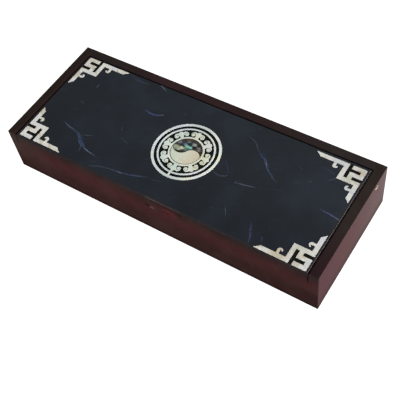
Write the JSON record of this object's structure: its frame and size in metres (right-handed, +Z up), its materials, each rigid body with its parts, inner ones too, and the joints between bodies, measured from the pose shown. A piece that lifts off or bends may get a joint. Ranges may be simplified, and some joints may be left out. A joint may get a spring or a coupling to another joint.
{
  "type": "lacquer pen box",
  "caption": "Long low lacquered wooden pen box with a pin-hinged paper-skinned lid, mother-of-pearl corner frets, a cloud medallion and a velvet-lined compartment.",
  "frame": {"origin": "middle of the underside, on the surface that the box stands on", "axes": "+X along the length to the right seen from the front, +Y to the rear where the lid is hinged, +Z up"},
  "size_m": [0.25, 0.096, 0.0389],
  "materials": {
    "lacquered_wood": "red-brown lacquer, satin gloss",
    "lacquered_paper": "slate-blue mulberry paper with blue fibres under clear lacquer",
    "pearl_shell": "polished mother-of-pearl",
    "abalone_shell": "polished abalone",
    "brass": "plain, slightly dulled",
    "velvet": "short pile on thin card"
  },
  "bodies": {
    "case": {"front_wall": "lacquered_wood", "rear_wall": "lacquered_wood", "left_end_wall": "lacquered_wood", "right_end_wall": "lacquered_wood", "bottom_panel": "lacquered_wood", "floor_lining": "velvet", "front_lining": "velvet", "rear_lining": "velvet", "left_lining": "velvet", "right_lining": "velvet", "left_hinge_pin": "brass", "right_hinge_pin": "brass"},
    "lid": {"lid_panel": "lacquered_wood", "lid_paper": "lacquered_paper", "fret_front_left": "pearl_shell", "fret_front_right": "pearl_shell", "fret_rear_left": "pearl_shell", "fret_rear_right": "pearl_shell", "medallion_outer_ring": "pearl_shell", "medallion_inner_ring": "pearl_shell", "medallion_cloud_collar": "pearl_shell", "medallion_pearl_half": "pearl_shell", "medallion_abalone_half": "abalone_shell"}
  },
  "joints": [
    {"name": "lid_hinge", "type": "hinge", "parent": "case", "child": "lid", "pos_m": [0, 0.03194, 0.0348], "axis": [-1, 0, 0], "range_deg": [0, 130]}
  ]
}
